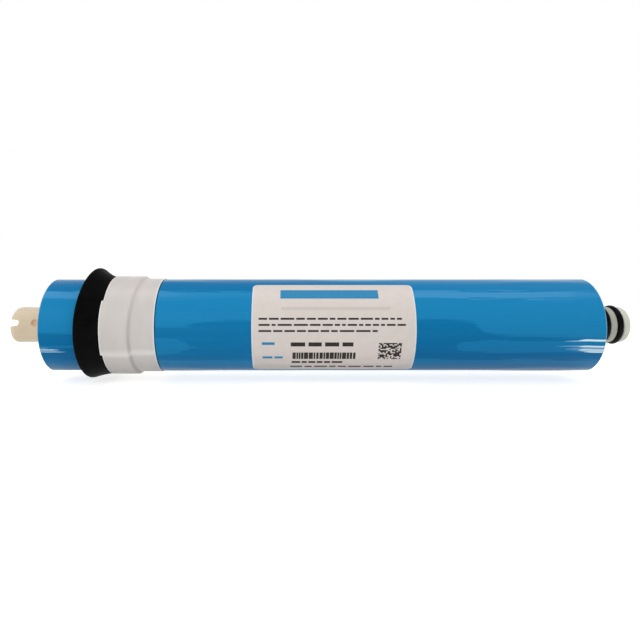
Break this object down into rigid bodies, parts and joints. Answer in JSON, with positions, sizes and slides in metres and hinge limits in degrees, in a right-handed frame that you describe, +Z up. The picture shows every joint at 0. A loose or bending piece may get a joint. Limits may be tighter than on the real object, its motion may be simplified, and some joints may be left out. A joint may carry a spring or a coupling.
{
  "type": "spiral-wound reverse osmosis membrane element",
  "caption": "Round blue filter element: a membrane leaf wound on a permeate tube, with a flared rubber brine seal, a label, a slotted tail and an O-ring spigot.",
  "frame": {"origin": "middle of the overall length, on the tube's axis", "axes": "+X along the axis towards the permeate spigot, -Y out of the middle of the label, +Z up"},
  "size_m": [0.298, 0.0538, 0.0538],
  "materials": {
    "tube_abs": "satin moulded ABS, ivory",
    "o_ring_rubber": "matte black rubber",
    "membrane": "matte off-white sheet",
    "spacer_net": "milky polypropylene net",
    "carrier_cloth": "matte white tricot cloth",
    "wrap_film": "glossy blue film",
    "seal_rubber": "matte black rubber",
    "tape_film": "semi-gloss white tape",
    "label_film": "semi-gloss white sticker"
  },
  "bodies": {
    "root": {"permeate_tube": "tube_abs", "inboard_o_ring": "o_ring_rubber", "outboard_o_ring": "o_ring_rubber", "membrane_leaf": "membrane", "feed_spacer": "spacer_net", "permeate_carrier": "carrier_cloth", "outer_wrap": "wrap_film", "brine_seal": "seal_rubber", "seal_tape": "tape_film", "label": "label_film"}
  },
  "joints": []
}
